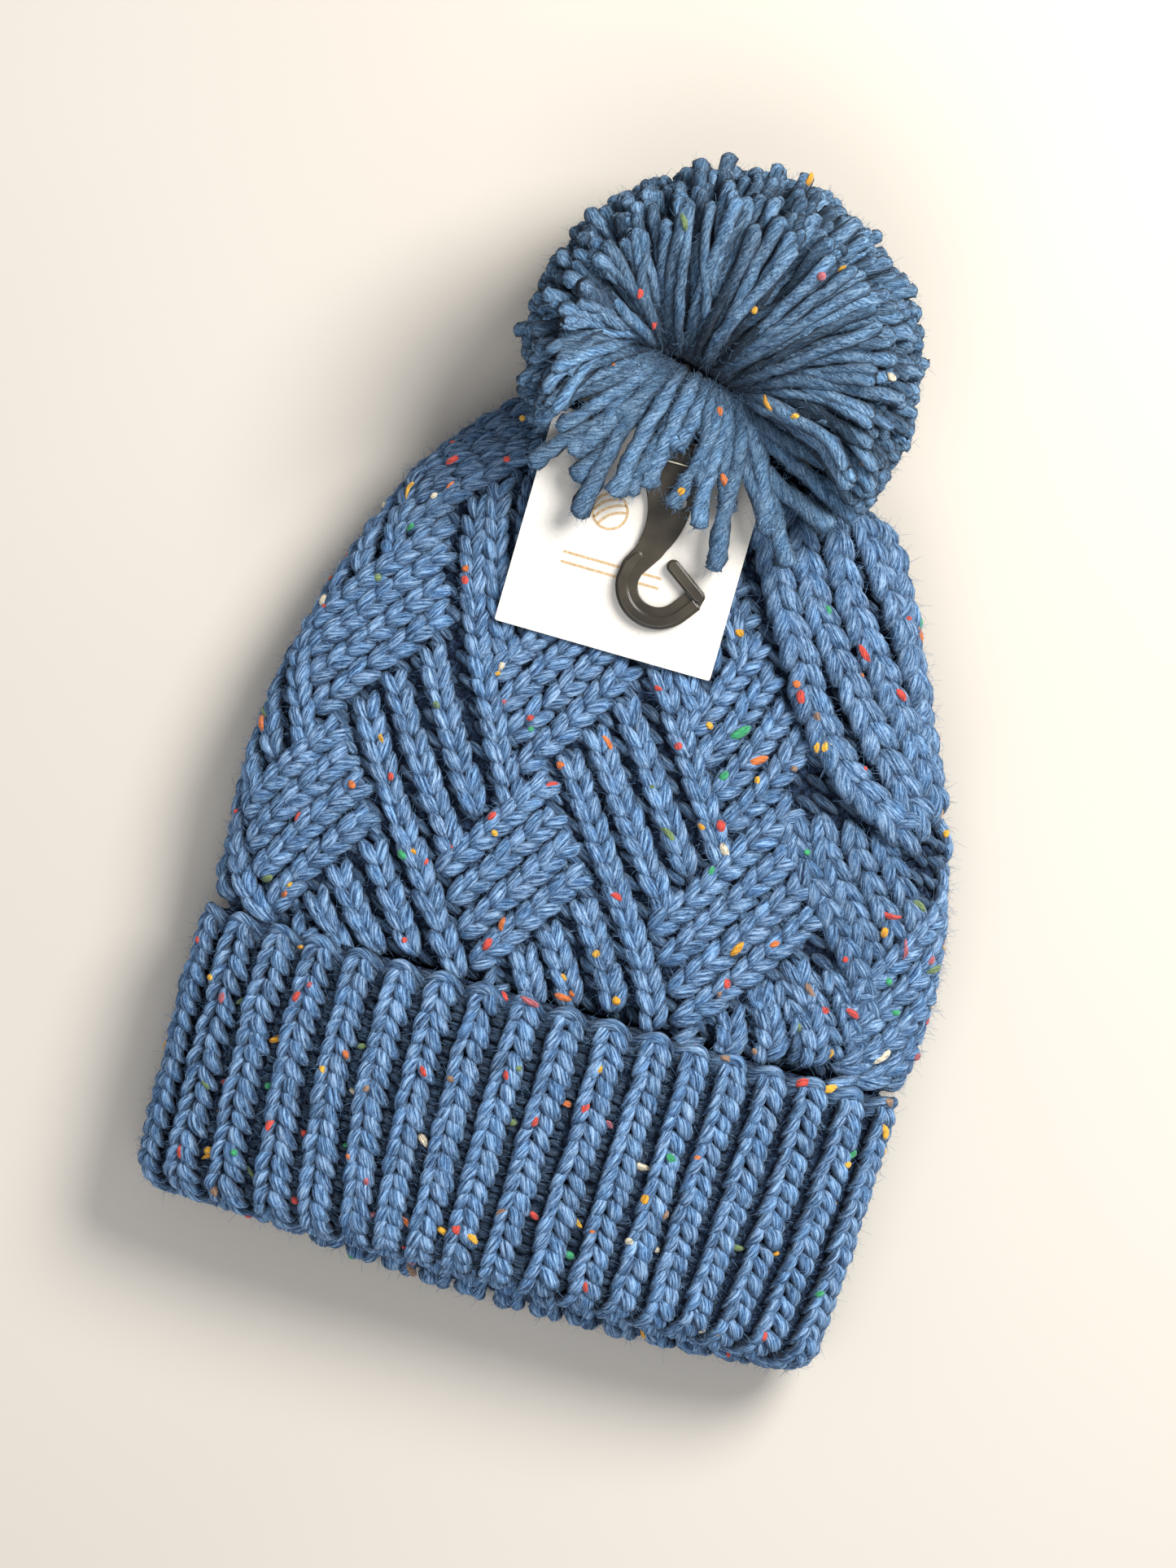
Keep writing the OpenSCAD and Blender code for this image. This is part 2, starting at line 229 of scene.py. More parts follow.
def neps(yarns, number):
    """Small coloured flecks of fibre spun into the tweed yarn."""
    point, along, side, up, wide, tall = pick_spots(yarns, number, 3)
    turn = np.radians(rng.normal(0, 32, (number, 1)))
    centre = point + side * np.sin(turn) * wide * 0.92 + up * np.cos(turn) * tall * 0.92
    out = unit(side * np.sin(turn) + up * np.cos(turn))
    heading = unit(along + 0.45 * rng.normal(0, 1, (number, 1)) * side)
    half = (rng.choice([1.0, 1.7, 2.6, 3.6], number, p=[0.3, 0.38, 0.22, 0.10])
            * rng.uniform(0.85, 1.15, number))[:, None, None]
    t = np.linspace(-1, 1, 9)[None, :, None]
    path = centre[:, None] + heading[:, None] * half * t - out[:, None] * 0.35 * t ** 2 * half
    round_off = np.sqrt(np.maximum(0.02, 1 - t[..., 0] ** 2))
    thick = rng.uniform(0.8, 1.35, number)[:, None] * round_off
    flecks = Yarns()
    flecks.add(path, np.broadcast_to(out[:, None], path.shape), thick, thick * 0.62,
               sides=9, lump=0.10)
    return flecks


# --- Shape of the hat -------------------------------------------------------

def body_rows():
    """Rings of the body: y, left, right, bottom and top."""
    h, w = BODY_H, HALF_W
    rows = [
        (84.6, -0.915, 0.905, 8.4, 0.88), (92, -0.965, 0.975, 2, 0.935),
        (100, -0.985, 1, 0, 0.965), (120, -1, 1, 0, 0.99), (137, -1, 0.985, 0, 1),
        (163, -0.977, 0.933, 0, 1), (190, -0.909, 0.802, 0, 0.99),
        (210, -0.843, 0.715, 0, 0.967), (227, -0.781, 0.647, 0, 0.933),
        (246, -0.647, 0.547, 0, 0.888), (254, -0.579, 0.492, 1.5, 0.854),
        (262, -0.437, 0.346, 6, 0.775), (267, -0.282, 0.191, 12, 0.708)]
    rows = [(y, a * w, b * w, low, t * h) for y, a, b, low, t in rows]
    return np.array(rows + [(270, -12, 0, 18, 30)])


CUFF_ROWS = np.array([
    (0, -0.957 * HALF_W, 0.943 * HALF_W, 0, 0.887 * CUFF_H),
    (8, -0.979 * HALF_W, 0.961 * HALF_W, 0, 0.95 * CUFF_H),
    (40, -0.993 * HALF_W, 0.975 * HALF_W, 0, CUFF_H),
    (CUFF_L, -HALF_W, 0.986 * HALF_W, 0, 0.98 * CUFF_H)])


def oval(left, right, low, high, turn):
    """Point of the flattened oval that every ring of the hat follows."""
    half_x, half_z = (right - left) / 2, (high - low) / 2
    flat = np.clip((half_x / half_z - 1) / 3, 0, 1)
    power = 2 + flat
    c, s = np.cos(turn), np.sin(turn)
    rise = half_z * np.maximum(0, 1 - np.abs(c) ** power) ** (1 / power)
    mid = (low + high) / 2
    z = np.where(s >= 0, mid + rise, np.maximum(low, mid - (1 + 0.15 * flat) * rise))
    return (left + right) / 2 + half_x * c, z


def ring_table(rows, ys, samples=1441):
    """Rings spaced evenly round from the middle of the front.

    Returns their points, their lengths and the oval's turn at each point."""
    turns = np.pi / 2 - np.linspace(-np.pi, np.pi, samples)
    out, lengths, turned = [], [], []
    for y in ys:
        left, right, low, high = [np.interp(y, rows[:, 0], rows[:, i]) for i in (1, 2, 3, 4)]
        x, z = oval(left, right, low, high, turns)
        run = np.concatenate([[0], np.cumsum(np.hypot(np.diff(x), np.diff(z)))])
        run -= np.interp(0, turns[::-1] - np.pi / 2, run[::-1])
        share_here = run / (run[-1] - run[0])
        at = np.linspace(share_here[0], share_here[-1], samples)
        share_at = at - (at[0] + at[-1]) / 2
        xs = np.interp(share_at, share_here, x)
        zs = np.interp(share_at, share_here, z)
        out.append(np.stack([xs, np.full(samples, float(y)), zs], axis=-1))
        lengths.append(run[-1] - run[0])
        turned.append(np.interp(share_at, share_here, turns))
    return np.array(out), np.array(lengths), np.array(turned)


BODY_YS = np.arange(84, 271, 1.5)
BODY_GRID, BODY_LENGTHS, _ = ring_table(body_rows(), BODY_YS)
# Girth of the body at its widest, and of the cuff at half its depth
ROUND = float(np.interp(137, BODY_YS, BODY_LENGTHS))
_, (CUFF_ROUND,), (CUFF_TURNS,) = ring_table(CUFF_ROWS, [40])


def grid_normals(grid):
    round_way = np.gradient(grid, axis=1)
    round_way[:, 0] = round_way[:, -1] = (round_way[:, 1] + round_way[:, -2]) / 2
    return unit(np.cross(round_way, np.gradient(grid, axis=0)))


BODY_NORMALS = grid_normals(BODY_GRID)


def grid_pick(grid, share, y):
    """Bilinear look-up in a table of rings."""
    samples = grid.shape[1]
    a = ((share + 0.5) % 1.0) * (samples - 1)
    b = np.clip((y - BODY_YS[0]) / (BODY_YS[1] - BODY_YS[0]), 0, len(BODY_YS) - 1.001)
    i, j = np.floor(b).astype(int), np.minimum(np.floor(a).astype(int), samples - 2)
    p, q = (b - i)[..., None], (a - j)[..., None]
    return ((1 - p) * ((1 - q) * grid[i, j] + q * grid[i, j + 1])
            + p * ((1 - q) * grid[i + 1, j] + q * grid[i + 1, j + 1]))


def body_scale(y):
    """Girth of the body at a height, as a share of its widest."""
    return np.interp(y, BODY_YS, BODY_LENGTHS) / ROUND


def body_at(u, y, lift):
    """Point on the hat's body: u round from the front's middle at full width."""
    share = u / ROUND
    return (grid_pick(BODY_GRID, share, y)
            + grid_pick(BODY_NORMALS, share, y) * np.asarray(lift)[..., None])


def body_place(u, y, lift):
    """As body_at, but plumper just above the cuff, where the knitting bulges out."""
    return body_at(u, y, lift + 3.2 * np.clip((102 - y) / 16, 0, 1))


def dropped(p):
    """Lets the cuff's back hang lower than its front, as in part.scad."""
    side = np.clip((CUFF_H / 2 - p[..., 2]) / (CUFF_H / 2 - WALL), 0, 1)
    across = np.maximum(0, np.cos(np.pi / 2 * (p[..., 0] - 15) / (HALF_W - 5)))
    fade = np.maximum(0, 1 - np.maximum(0, p[..., 1]) / CUFF_L)
    out = p.copy()
    out[..., 1] -= BACK_DROP * side * across * fade
    return out


def cuff_at(u, s, lift):
    """Point on the cuff: s runs from its free edge down, round the fold, and up inside."""
    share = (u / CUFF_ROUND + 0.5) % 1.0 - 0.5
    turn = np.interp(share, np.linspace(-0.5, 0.5, len(CUFF_TURNS)), CUFF_TURNS)
    flat_run = CUFF_L - WALL
    arc = np.clip((s - flat_run) / WALL, 0, np.pi)
    past = np.maximum(0, s - flat_run - np.pi * WALL)
    reach = WALL + lift
    y = np.where(s < flat_run, CUFF_L - s, WALL - reach * np.sin(arc) + past)
    inset = WALL - reach * np.cos(arc)
    left, right, low, high = [np.interp(y, CUFF_ROWS[:, 0], CUFF_ROWS[:, i])
                              for i in (1, 2, 3, 4)]
    x, z = oval(left + inset, right - inset, low + inset, high - inset, turn)
    return dropped(np.stack([x, y, z], axis=-1))


# --- Stitches ---------------------------------------------------------------

def follow(line, along):
    """Points and directions at distances along a line of points."""
    line = np.asarray(line, float)
    run = np.concatenate([[0], np.cumsum(np.hypot(*np.diff(line, axis=0).T))])
    p = np.stack([np.interp(along, run, line[:, k]) for k in (0, 1)], axis=-1)
    ahead = np.stack([np.interp(np.clip(along + 2, 0, run[-1]), run, line[:, k])
                      - np.interp(np.clip(along - 2, 0, run[-1]), run, line[:, k])
                      for k in (0, 1)], axis=-1)
    before, after = along < 0, along > run[-1]
    d = unit(ahead)
    p = p + d * (np.where(before, along, 0) + np.where(after, along - run[-1], 0))[..., None]
    return p, d


def line_length(line):
    return float(np.sum(np.hypot(*np.diff(np.asarray(line, float), axis=0).T)))


LEG_STEPS = 11
# Place of each ring along a leg, from its foot at 0 to its top at 1
LEG_T = np.linspace(0, 1, LEG_STEPS)[None, :]


# Shares of a stitch's width: a leg's slant, half width and half height
LEG_SLANT, LEG_WIDE, LEG_TALL = 0.165, 0.232, 0.215


def on_surface(place, u, s, high):
    """Points at a height over a surface, and the way up from each."""
    path = place(u, s, high)
    return path, place(u, s, high + 1.0) - path


def legs(yarns, line, place, pitch=6.5, width=10.0, lean=(1.0, 1.0), slim=(1.0, 1.0),
         reach=(1.5, 1.5), spread=0.175, lift=-2.2, squeeze=None, tone=1.0,
         end_dive=(1.5, 1.5), edge=0.85):
    """A column of V stitches along a line, each one two plump crossing legs.

    pitch and width are a stitch's length and width; the pairs are for the left and right
    legs, but end_dive sinks the line's first and last stitches."""
    total = line_length(line)
    n = max(1, int(round(total / pitch)))
    at = (np.arange(n) + 0.5) * total / n
    t = LEG_T
    for k, sign in enumerate((-1, 1)):
        along = at[:, None] + rng.normal(0, 0.3, (n, 1)) + (t - 0.5) * reach[k] * pitch
        slant = LEG_SLANT * width * lean[k] * rng.normal(1, 0.14, (n, 1))
        across = sign * (spread * width + slant * (2 * t ** 0.95 - 1)) + rng.normal(
            0, 0.22, (n, 1))
        hump = np.sin(np.pi * np.clip(0.04 + 0.92 * t ** 0.9, 0, 1)) ** 0.7
        fall = -3.0 * (1 - hump) - 0.9 * (1 - t) ** 2
        high = lift + fall + rng.normal(0, 0.22, (n, 1))
        to_end = np.minimum(along, total - along)
        high = high - np.where(along < total / 2, end_dive[0], end_dive[1]) * np.clip(
            1 - to_end / (0.8 * pitch), 0, 1.6)
        p, d = follow(line, along)
        shrink = squeeze(p[..., 1]) if squeeze else 1.0
        tight = np.clip(shrink, 0.5, 1) ** 0.6
        u = p[..., 0] + d[..., 1] * across * tight / shrink
        y = p[..., 1] - d[..., 0] * across * tight
        path, up = on_surface(place, u, y, high)
        body = 0.2 + 0.8 * np.sin(np.pi * np.clip(0.03 + 0.92 * t ** 0.92, 0, 1)) ** 0.72
        size = rng.normal(1, 0.07, (n, 1)) * slim[k]
        wide = LEG_WIDE * width * tight * body * size
        tall = LEG_TALL * width * body * size
        for half in (wide, tall):
            half[:, (0, -1)] *= 0.35
        # Painted shade: each leg darkens towards its ends, where it dives under its neighbours
        shade = (0.14 + 0.86 * hump ** 1.3) * np.ones((n, 1))
        yarns.add(path, up, wide, tall, sides=10, depth=shade, edge=edge,
                  tone=tone(y[:, LEG_STEPS // 2]) if callable(tone) else tone)


def bumps(yarns, centres, place, length, thick, lift, depth, lean=0.0, steps=8, sides=8):
    """Short arched purl bumps, lying across a column, in painted shade deep in the troughs."""
    centres = np.asarray(centres, float)
    n = len(centres)
    t = np.linspace(-1, 1, steps)[None, :]
    arch = 1 - t ** 2
    u = centres[:, :1] + t * length / 2 * rng.normal(1, 0.1, (n, 1))
    s = centres[:, 1:2] + lean * t + 0.5 * arch * rng.choice([-1, 1], (n, 1)) \
        + rng.normal(0, 0.25, (n, 1))
    high = lift + 1.5 * (arch - 0.5) + rng.normal(0, 0.25, (n, 1))
    path, up = on_surface(place, u, s, high)
    size = thick * (0.55 + 0.45 * np.sqrt(arch)) * rng.normal(1, 0.08, (n, 1))
    yarns.add(path, up, size, size * 0.95, sides=sides, edge=0.8,
              depth=np.full((n, steps), depth) * rng.uniform(0.7, 1.3, (n, 1)))


# --- Materials --------------------------------------------------------------

def new_material(name):
    material = bpy.data.materials.new(name)
    material.use_nodes = True
    tree = material.node_tree
    tree.nodes.clear()
    out = tree.nodes.new("ShaderNodeOutputMaterial")
    shader = tree.nodes.new("ShaderNodeBsdfPrincipled")
    tree.links.new(shader.outputs["BSDF"], out.inputs["Surface"])
    return material, tree, shader


def add_node(tree, kind, settings=None, **inputs):
    node = tree.nodes.new(kind)
    for key, value in (settings or {}).items():
        setattr(node, key, value)
    for key, value in inputs.items():
        socket = node.inputs[int(key[1:])] if key[0] == "i" and key[1:].isdigit() \
            else node.inputs[key]
        if isinstance(value, bpy.types.NodeSocket):
            tree.links.new(value, socket)
        else:
            socket.default_value = value
    return node


def ramp(tree, source, stops):
    node = tree.nodes.new("ShaderNodeValToRGB")
    tree.links.new(source, node.inputs["Fac"])
    while len(node.color_ramp.elements) < len(stops):
        node.color_ramp.elements.new(0.5)
    for element, (place, colour) in zip(node.color_ramp.elements, stops):
        element.position = place
        element.color = (*colour, 1)
    return node.outputs["Color"]


def mix(tree, factor, a, b, blend="MIX"):
    node = tree.nodes.new("ShaderNodeMix")
    node.data_type = "RGBA"
    node.blend_type = blend
    for socket, value in ((node.inputs[0], factor), (node.inputs[6], a), (node.inputs[7], b)):
        if isinstance(value, bpy.types.NodeSocket):
            tree.links.new(value, socket)
        elif socket.type == "VALUE":
            socket.default_value = value
        else:
            socket.default_value = (*value, 1)
    return node.outputs[2]


def object_noise(tree, scale, **inputs):
    """Noise laid out in the object's own metres."""
    place = add_node(tree, "ShaderNodeTexCoord")
    return add_node(tree, "ShaderNodeTexNoise", Vector=place.outputs["Object"],
                    Scale=scale, **inputs).outputs["Fac"]


def lay_noise(tree, lay, stretch, **inputs):
    """Noise that follows a yarn: along it, then across its twisted section."""
    place = add_node(tree, "ShaderNodeVectorMath", {"operation": "MULTIPLY"},
                     i0=lay.outputs["Vector"], i1=stretch)
    return add_node(tree, "ShaderNodeTexNoise", Vector=place.outputs[0], Scale=1.0,
                    **inputs).outputs["Fac"]


def yarn_data(tree):
    """The lay and the parts of the tone that Yarns.add stores on a mesh; its second part is
    painted shade.
    """
    lay, tone = [add_node(tree, "ShaderNodeAttribute", {"attribute_name": name})
                 for name in ("lay", "tone")]
    return lay, add_node(tree, "ShaderNodeSeparateXYZ", Vector=tone.outputs["Vector"])


def relief(tree, shader, height, strength, distance, **inputs):
    bump = add_node(tree, "ShaderNodeBump", Height=height, Strength=strength,
                    Distance=distance, **inputs)
    tree.links.new(bump.outputs["Normal"], shader.inputs["Normal"])


def uneven_roughness(tree, shader, source, least, most):
    rough = add_node(tree, "ShaderNodeMapRange", Value=source,
                     **{"To Min": least, "To Max": most})
    tree.links.new(rough.outputs[0], shader.inputs["Roughness"])


def set_shader(tree, shader, base, **values):
    tree.links.new(base, shader.inputs["Base Color"])
    for key, value in values.items():
        shader.inputs[key.replace("_", " ")].default_value = value


NAVY, DENIM, PALE = (0.016, 0.036, 0.088), (0.115, 0.240, 0.440), (0.400, 0.600, 0.860)
# Painted shade: near black colour that yarn is blended towards deep in a gap
GAP_SHADE = (0.003, 0.005, 0.010)


def yarn_material(name, dark, main, light):
    """Heathered wool-blend yarn: fibres run round the yarn in its twist."""
    material, tree, shader = new_material(name)
    lay, parts = yarn_data(tree)
    fibres = lay_noise(tree, lay, (0.20, 1.7, 1.7), Detail=4.0, Roughness=0.62)
    fine = lay_noise(tree, lay, (0.55, 4.6, 4.6), Detail=2.0, Roughness=0.6)
    blotch = lay_noise(tree, lay, (0.12, 0.25, 0.25), Detail=2.0)
    both = add_node(tree, "ShaderNodeMath", {"operation": "MULTIPLY_ADD"}, i0=fine, i1=0.35,
                    i2=fibres)
    level = add_node(tree, "ShaderNodeMath", {"operation": "SUBTRACT"}, i0=both.outputs[0],
                     i1=0.175).outputs[0]
    base = ramp(tree, level, [(0.34, dark), (0.49, main), (0.64, light)])
    grey = ramp(tree, blotch, [(0.36, (1.06, 1.0, 0.98)), (0.5, (1, 1, 1)),
                               (0.66, (0.84, 0.96, 1.05))])
    base = mix(tree, 0.8, base, grey, "MULTIPLY")
    plum = ramp(tree, fine, [(0.62, (0, 0, 0)), (0.74, (0.5, 0.5, 0.5))])
    base = mix(tree, plum, base, (0.17, 0.12, 0.17))
    # Painted shade: the colour is scaled by the tone's first part and blended towards near black
    # by its second
    toned = add_node(tree, "ShaderNodeVectorMath", {"operation": "SCALE"}, i0=base,
                     Scale=parts.outputs["X"])
    relief(tree, shader, level, 1.0, 0.0011)
    set_shader(tree, shader, mix(tree, parts.outputs["Y"], GAP_SHADE, toned.outputs[0]),
               Roughness=0.92, Specular_IOR_Level=0.18, Sheen_Weight=0.12,
               Sheen_Roughness=0.4, Sheen_Tint=(0.62, 0.76, 1.0, 1))
    return material


def nep_material():
    """Flecks of dyed fibre; the third part of tone picks the colour."""
    material, tree, shader = new_material("tweed_flecks")
    lay, parts = yarn_data(tree)
    colours = [(0.62, 0.075, 0.055), (0.66, 0.18, 0.05), (0.80, 0.44, 0.05),
               (0.72, 0.34, 0.03), (0.05, 0.36, 0.15), (0.16, 0.24, 0.10),
               (0.75, 0.66, 0.48), (0.42, 0.12, 0.14), (0.30, 0.19, 0.13)]
    starts = [0, 0.27, 0.40, 0.56, 0.66, 0.73, 0.78, 0.85, 0.93]
    base = ramp(tree, parts.outputs["Z"], list(zip(starts, colours)))
    base.node.color_ramp.interpolation = "CONSTANT"
    fibres = lay_noise(tree, lay, (0.5, 3.2, 3.2), Detail=3.0)
    strand = ramp(tree, fibres, [(0.36, (0.45, 0.45, 0.5)), (0.52, (1, 1, 1)),
                                 (0.68, (1.25, 1.2, 1.15))])
    relief(tree, shader, fibres, 0.9, 0.0006)
    set_shader(tree, shader, mix(tree, 1.0, base, strand, "MULTIPLY"), Roughness=0.85,
               Specular_IOR_Level=0.2, Sheen_Weight=0.2)
    return material


def shaded_ground_material():
    """Backs of the stitches, seen only in the gaps between them, in near black painted shade."""
    material, tree, shader = new_material("yarn_ground_shade")
    noise = object_noise(tree, 620.0, Detail=4.0, Roughness=0.65)
    base = ramp(tree, noise, [(0.40, (0.006, 0.009, 0.018)), (0.58, (0.022, 0.040, 0.080)),
                              (0.72, (0.060, 0.105, 0.180))])
    relief(tree, shader, noise, 0.9, 0.0012)
    set_shader(tree, shader, base, Roughness=0.95, Specular_IOR_Level=0.1)
    return material


yarn_blue = yarn_material("yarn_blue", NAVY, DENIM, PALE)
yarn_pom = yarn_material("yarn_pom", (0.034, 0.070, 0.128), (0.128, 0.250, 0.410),
                         (0.310, 0.490, 0.690))
yarn_cord = yarn_material("yarn_cord", (0.010, 0.020, 0.045), (0.040, 0.085, 0.170),
                          (0.100, 0.180, 0.300))
tweed_flecks = nep_material()
ground = shaded_ground_material()


# --- Ground surfaces under the stitches -------------------------------------

def skin_grid(name, place, us, ss, lift, slot, *nodes):
    """Closed sheet on the hat, under one kind of stitches, in the gaps' painted shade."""
    u, s = np.meshgrid(us, ss, indexing="ij")
    points = place(u, s, np.full(u.shape, float(lift)))
    n, m = u.shape
    i, j = np.meshgrid(np.arange(n), np.arange(m - 1), indexing="ij")
    k = (i + 1) % n
    faces = np.stack([i * m + j, k * m + j, k * m + j + 1, i * m + j + 1], axis=-1)
    piece = make_mesh(name, rested(points), [faces.reshape(-1, 4)])
    return finish_piece(piece, ground, "hat", slot, *nodes)


def around(total, count):
    return (np.arange(count) / count - 0.5) * total


# Length of the rib from the cuff's free edge, round the fold, to the band, and the band's own
CUFF_SPAN = CUFF_L - WALL + math.pi * WALL
BAND_L = 62
cuff_ground = skin_grid("cuff_ground", cuff_at, around(CUFF_ROUND, 240),
                        np.concatenate([[-1.5], np.linspace(0, CUFF_SPAN + BAND_L, 70)]),
                        -5.4, "knit_cuff", "turned_up_cuff", "inner_rib_band")
body_ground = skin_grid("body_ground", body_at, around(ROUND, 240),
                        np.linspace(85, 269.5, 90), -5.2, "knit_body", "crown_shell")


def quarter_of(u, whole):
    """Name of the quarter of the hat that holds a place round it."""
    return ("front_" if abs(u) < whole / 4 else "back_") + ("left" if u < 0 else "right")


def wrap(u, whole=ROUND):
    return (u + whole / 2) % whole - whole / 2


# --- Cuff -------------------------------------------------------------------

RIBS = int(round(CUFF_ROUND / 12.85))
RIB_PITCH = CUFF_ROUND / RIBS
FIRST_RIB = -7.6
ROW = 4.95


def cuff_shift(u, s):
    """Small wanderings of the ribs over the front of the cuff."""
    y = CUFF_L - s
    low = np.clip((52 - y) / 42, 0, 1.2)
    front = np.abs(u) < CUFF_ROUND / 4
    lean = 6 * np.exp(-((u + 55) / 30) ** 2) - 3 * np.exp(-((u - 92) / 22) ** 2)
    bulge = 2.6 * np.exp(-((u - 33) / 22) ** 2)
    return np.where(front, lean * low + bulge, 0) * np.where(s > CUFF_SPAN - 8, 0.6, 1)


def cuff_place(u, s, lift):
    return cuff_at(u + cuff_shift(u, s), s, lift)


def knit_rib(part, lining, u0):
    """One rib of the cuff and of the band, with the purl trough to its right."""
    wave = rng.normal(0, 0.35, 12)
    ss = np.linspace(1.0, CUFF_SPAN + 2, 12)
    line = np.stack([u0 + np.convolve(wave, [0.25, 0.5, 0.25], "same"), ss], axis=-1)
    legs(part, line, cuff_place, pitch=ROW, width=11.0, lean=(0.5, 1.5), slim=(0.82, 0.94),
         reach=(1.8, 1.4), spread=0.205, lift=-1.7, end_dive=(1.4, 0.0), edge=1.0)
    inner = np.array([[u0, CUFF_SPAN + 2], [u0, CUFF_SPAN + BAND_L - 2]])
    legs(lining, inner, cuff_at, pitch=5.6, width=8.8, tone=0.9, end_dive=(0.0, 2.0))
    rows = np.arange(0.5, CUFF_SPAN + 4, ROW / 2)
    bumps(part, np.stack([np.full(len(rows), u0 + RIB_PITCH / 2), rows], axis=-1),
          cuff_place, length=4.4, thick=1.15, lift=-5.3, depth=0.17)


def cast_on_edge(part, u0):
    """Two yarns along the cuff's free edge, which rise over each rib."""
    rim = np.linspace(-0.5, 0.5, 15)[None, :]
    crest = 0.5 + 0.5 * np.cos(2 * np.pi * rim)
    # Painted shade: the lower yarn is darker, and both darken where they dip between ribs
    for low, depth in ((0.0, 0.85), (2.6, 0.6)):
        ss = 2.6 - 3.4 * crest ** 0.7 + low
        high = -5.4 + 3.0 * crest ** 0.8 - low * 0.5
        u = u0 + rim * RIB_PITCH + rng.normal(0, 0.2)
        path, up = on_surface(cuff_place, u, ss, high)
        size = np.full((1, 15), 1.75) * rng.normal(1, 0.08)
        part.add(path, up, size, size, depth=depth * (0.35 + 0.65 * crest), edge=0.7)


lining = Yarns()
cuff_parts = {name: Yarns() for name in ("front_left", "front_right", "back_left", "back_right")}
for k in range(RIBS):
    u0 = wrap(FIRST_RIB + RIB_PITCH * (k - RIBS // 2), CUFF_ROUND)
    part = cuff_parts[quarter_of(u0, CUFF_ROUND)]
    knit_rib(part, lining, u0)
    cast_on_edge(part, u0)
lining.piece("band_rib", yarn_blue, "hat", "knit_band")
for quarter, part in cuff_parts.items():
    part.piece("cuff_rib_" + quarter, yarn_blue, "hat", "knit_cuff")


# --- Body: lattice of V-stitch chains ---------------------------------------

# Width of a front cell and height of a tier of the lattice, and the first valley's foot
CELL, TIER = 65.0, 60.0
FIRST_B = (-31.0, 90.0)
CELLS = 8
BACK_CELL = (ROUND - 4 * CELL) / (CELLS - 4)


def cell_start(i):
    """Place round the hat of a cell's valley line; four wide cells lie in front."""
    i = i % CELLS
    first = FIRST_B[0] - CELL
    return first + i * CELL if i < 4 else first + 4 * CELL + (i - 4) * BACK_CELL


def cell_size(i):
    return CELL if i % CELLS < 4 else BACK_CELL


def plan_u(x, y):
    """Place round the hat, at full width, of points seen from above on its front."""
    x, y = np.broadcast_arrays(np.asarray(x, float), np.asarray(y, float))
    out = np.empty(x.shape)
    quarter = BODY_GRID.shape[1] // 4
    for i in np.ndindex(x.shape):
        row = int(np.clip(round((y[i] - BODY_YS[0]) / 1.5), 0, len(BODY_YS) - 1))
        front = BODY_GRID[row, quarter:-quarter, 0]
        share = np.interp(x[i], front, np.linspace(-0.25, 0.25, len(front)))
        out[i] = share * ROUND
    return out


# Leaning chains of a cell, from foot to top, beside its valley's foot (0, 0)
LEANING = [((4, -11), (-44, 61)), ((-9, 30), (-35.5, 67)), ((-6, 44), (-29, 79))]
LEAN_RUN = 48 / 72
RISE = math.tan(math.radians(54))
RISERS = 4
# Folded edge right of the middle, as seen from above
PLEAT = np.array([(16, 247), (24, 232), (31, 220), (40, 206), (53, 186), (65, 174), (83, 164)])
PANEL_CELL = 3


def riser_start(rel):
    """Right-hand side of the leaning chains, where the rising ones come out."""
    return np.interp(rel, [0, 27, 36, 45, 51, TIER], [2.5, -13.5, -6, 1, 7, 2.5])


def riser_end(rel):
    """How far right a rising chain reaches at a height above its tier's foot."""
    left = CELL + 4 - LEAN_RUN * (rel + 11) - 10.0
    return np.minimum(np.interp(rel, [6, 12, 22], [20, 27, 35]), left) if rel < 22 else left


def pleat_x(y):
    return np.interp(y, PLEAT[::-1, 1], PLEAT[::-1, 0])


def sampled(lines):
    """Points every 2 mm or so along straight lines."""
    return np.concatenate([np.linspace(a, b, max(2, int(np.hypot(*np.subtract(b, a)) / 2)))
                           for a, b in lines])


def grow(start, end, others, clear, most):
    """Lengthens a line past its end until it comes close to other lines."""
    start, end = np.array(start, float), np.array(end, float)
    d = unit(end - start)
    for _ in range(most):
        gap = others - (end + d)
        gap[:, 0] = wrap(gap[:, 0])
        if np.hypot(*gap.T).min() < clear:
            break
        end = end + d
    return end


def rising_lines(i, foot_y):
    """Rising chains of one tier of a cell, each from its first to its last place."""
    base_u, stretch = cell_start(i), cell_size(i) / CELL
    found = []
    for step in range(RISERS):
        lead = step * TIER / RISERS - 4
        x = -13.0
        while x < riser_start((lead + RISE * x) % TIER):
            x += 0.5
        x0, y0 = x, lead + RISE * x
        while x < riser_end((lead + RISE * x) % TIER):
            x += 1
        if i == PANEL_CELL and foot_y + y0 > 150:
            x0 += max(0, 125 - base_u - x0)
            y0 = lead + RISE * x0
        if x - x0 > 4:
            found.append([(base_u + x0 * stretch, foot_y + y0),
                          (base_u + x * stretch, foot_y + (lead + RISE * x))])
    return found


def fitted_riser(low, high, lean_spots):
    """Lengthens a rising chain to its neighbours, and stops it at the pleat."""
    high = grow(low, high, lean_spots, 8.0, 16)
    if wrap(low[0]) < 75 and high[1] > 164:
        way = np.array(low) + np.linspace(0, 1, 60)[:, None] * (high - low)
        u = wrap(way[:, 0])
        past = (way[:, 1] > 166) & (u > pleat_x(way[:, 1]) + 4) & (u < 110)
        if past.any() and not past[0]:
            high = way[np.argmax(past)]
    return [grow(high, low, lean_spots, 6.5, 10), high]


